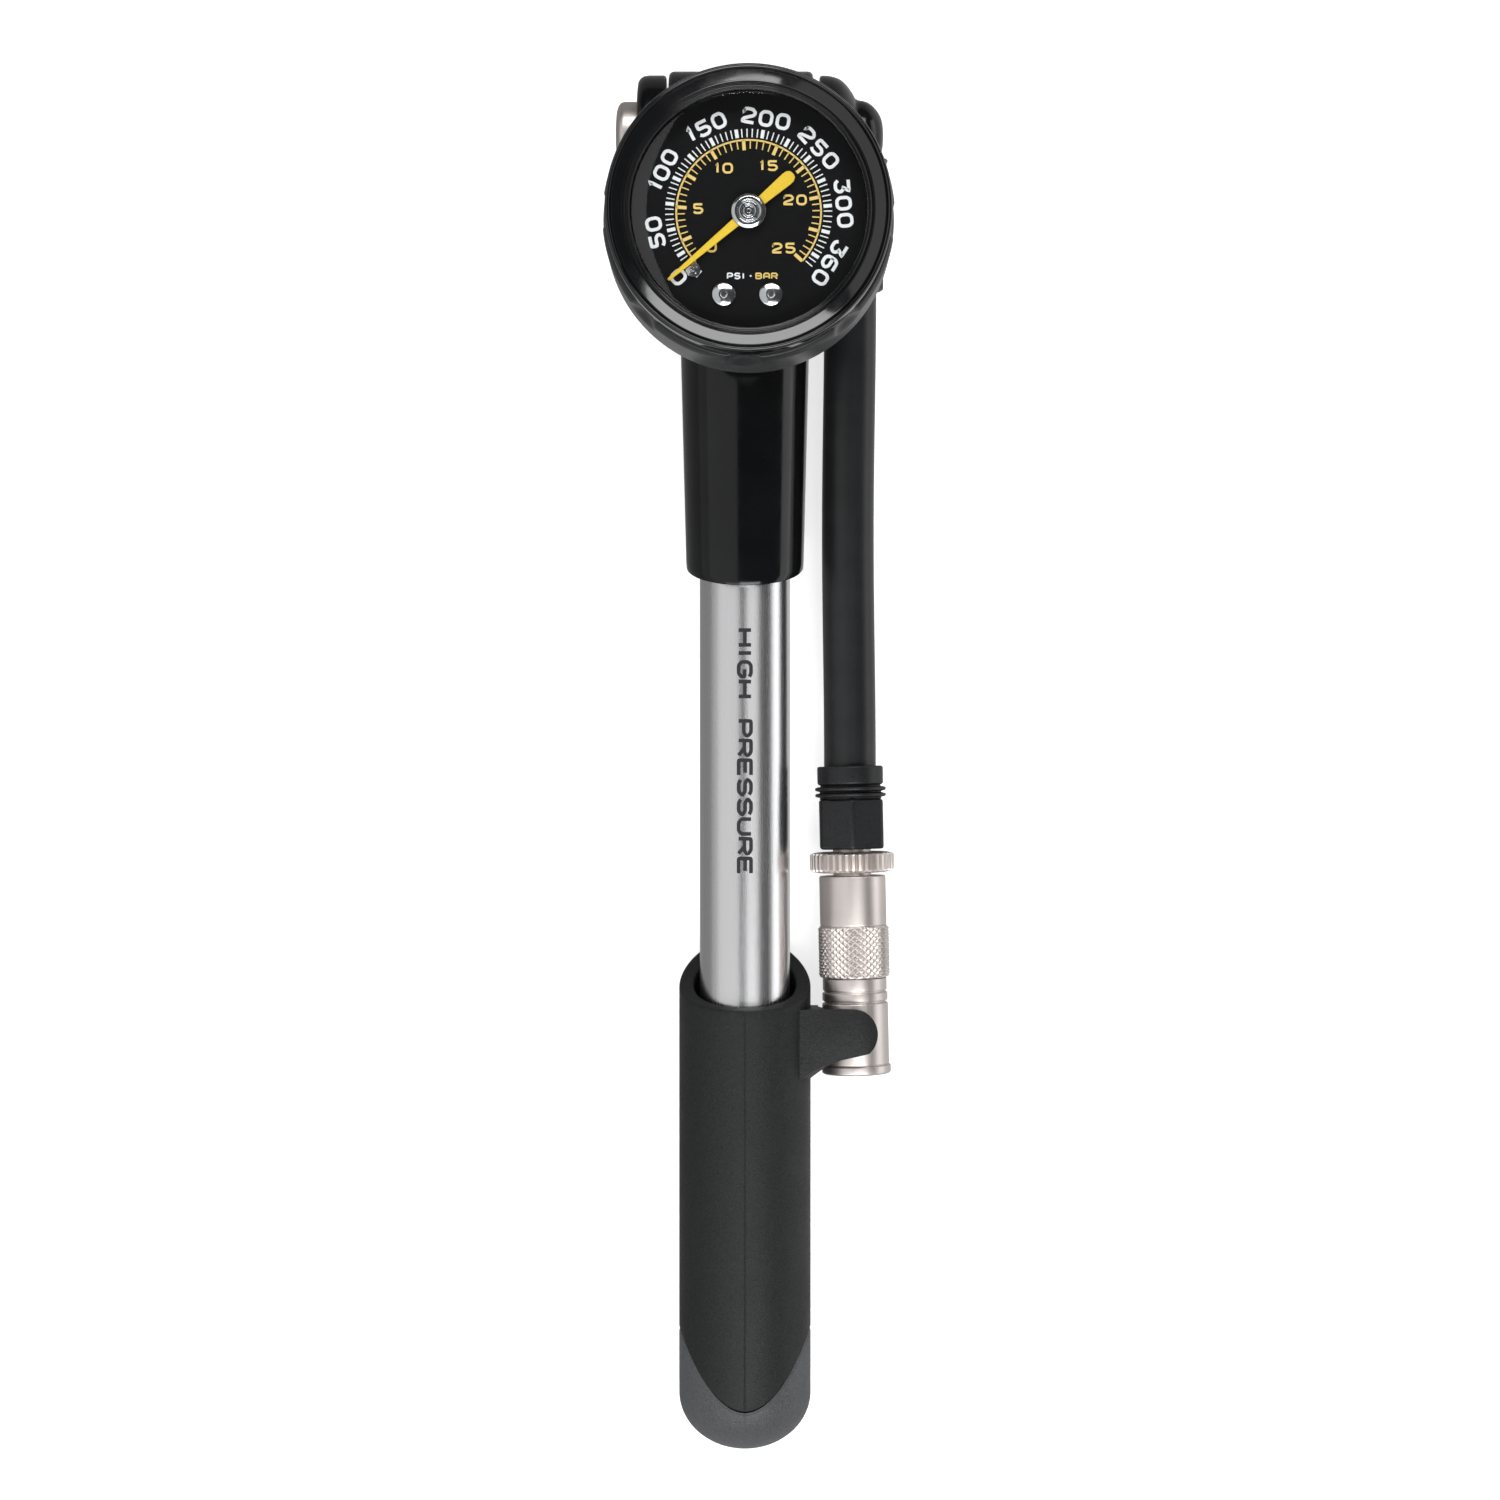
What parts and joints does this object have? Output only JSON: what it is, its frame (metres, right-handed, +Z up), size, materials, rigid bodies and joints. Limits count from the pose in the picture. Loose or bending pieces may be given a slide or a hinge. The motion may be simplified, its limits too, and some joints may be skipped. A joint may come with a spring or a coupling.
{
  "type": "mini pump",
  "caption": "Slim hand pump for bicycle tyres with a round dial gauge on its head, a sliding handle, and a swivelling hose whose metal chuck clips to the handle.",
  "frame": {"origin": "under the middle of the pump, on the surface that it lies on, with the handle pushed in", "axes": "+Y along the pump towards its head, +X towards the hose, +Z up out of the gauge's dial"},
  "size_m": [0.0448, 0.2164, 0.0439],
  "materials": {
    "gloss_black": "glossy",
    "matte_black": "fine matte texture",
    "grey_plastic": "matte",
    "rubber": "matte",
    "aluminium": "satin",
    "bright_steel": "bright",
    "satin_nickel": "satin nickel",
    "brass": "satin",
    "dial_black": "matt black with printed scale",
    "pointer_yellow": "matt",
    "clear_lens": "clear"
  },
  "bodies": {
    "pump": {"head_body": "gloss_black", "sleeve": "gloss_black", "barrel": "aluminium", "barrel_seal": "rubber", "barrel_end_cap": "matte_black", "rod_wiper": "rubber", "check_valve_seat": "brass", "check_valve_spring": "bright_steel", "gauge_case": "matte_black", "gauge_boot": "rubber", "gauge_bezel": "gloss_black", "gauge_lens": "clear_lens", "gauge_stem": "brass", "bourdon_tube": "brass", "gauge_link": "brass", "movement_lower_plate": "brass", "movement_upper_plate": "brass", "gauge_dial": "dial_black", "dial_screw_left": "bright_steel", "dial_screw_right": "bright_steel", "stop_screw": "bright_steel", "bleeder_cap": "gloss_black", "bleeder_spring": "bright_steel", "swivel_stem": "brass", "swivel_seal_inner": "rubber", "swivel_seal_outer": "rubber"},
    "plunger": {"handle_grip": "matte_black", "handle_end_cap": "grey_plastic", "piston_rod": "bright_steel", "piston": "brass", "piston_seal": "rubber", "rod_bumper": "rubber", "rod_screw": "bright_steel"},
    "check_valve": {"check_valve_poppet": "rubber"},
    "bleeder": {"bleeder_button": "satin_nickel", "bleeder_valve": "brass"},
    "sector": {"sector_gear": "brass"},
    "pointer": {"gauge_pointer": "pointer_yellow", "pointer_hub": "bright_steel", "pinion_arbor": "bright_steel"},
    "hose_arm": {"hose_union": "gloss_black", "hose_collar_upper": "matte_black", "hose": "rubber", "hose_collar_lower": "matte_black", "chuck_stem": "satin_nickel"},
    "thumb_wheel": {"thumb_wheel": "satin_nickel"},
    "chuck": {"chuck_body": "satin_nickel", "chuck_nozzle": "satin_nickel", "chuck_gasket": "rubber"},
    "depressor": {"depressor_pin": "brass"}
  },
  "joints": [
    {"name": "pump_stroke", "type": "slide", "parent": "pump", "child": "plunger", "axis": [0, -1, 0], "range_m": [0, 0.14]},
    {"name": "check_valve_lift", "type": "slide", "parent": "pump", "child": "check_valve", "axis": [0, 1, 0], "range_m": [0, 0.001], "stiffness_N_per_m": 60, "springref_m": -0.002, "deforming": ["check_valve_spring"]},
    {"name": "bleeder_press", "type": "slide", "parent": "pump", "child": "bleeder", "axis": [1, 0, 0], "range_m": [0, 0.0012], "stiffness_N_per_m": 400, "springref_m": -0.002, "deforming": ["bleeder_spring"]},
    {"name": "sector_turn", "type": "hinge", "parent": "pump", "child": "sector", "pos_m": [-0.00986, 0.07644, 0.03385], "axis": [0, 0, 1], "range_deg": [0, 34.7], "stiffness_Nm_per_rad": 0.0004},
    {"name": "pointer_turn", "type": "hinge", "parent": "pump", "child": "pointer", "pos_m": [-0.00061, 0.08075, 0.03995], "axis": [0, 0, 1], "range_deg": [-260.6, 0]},
    {"name": "hose_swing", "type": "hinge", "parent": "pump", "child": "hose_arm", "pos_m": [0.01538, 0.0982, 0.01035], "axis": [1, 0, 0], "range_deg": [0, 215]},
    {"name": "thumb_wheel_turn", "type": "hinge", "parent": "hose_arm", "child": "thumb_wheel", "pos_m": [0.01573, -0.0162, 0.00845], "axis": [-0.0218, 0.9998, 0], "range_deg": [0, 540.5]},
    {"name": "depressor_slide", "type": "slide", "parent": "hose_arm", "child": "depressor", "axis": [0.0218, -0.9998, 0], "range_m": [0, 0.0015]},
    {"name": "chuck_turn", "type": "hinge", "parent": "hose_arm", "child": "chuck", "pos_m": [0.01612, -0.03415, 0.00845], "axis": [-0.0218, 0.9998, 0], "continuous": true}
  ],
  "couplings": [
    {"joint": "pointer_turn", "follows": "sector_turn", "ratio": -7.5},
    {"joint": "thumb_wheel_turn", "follows": "depressor_slide", "rad_per_m": 6283.2}
  ]
}
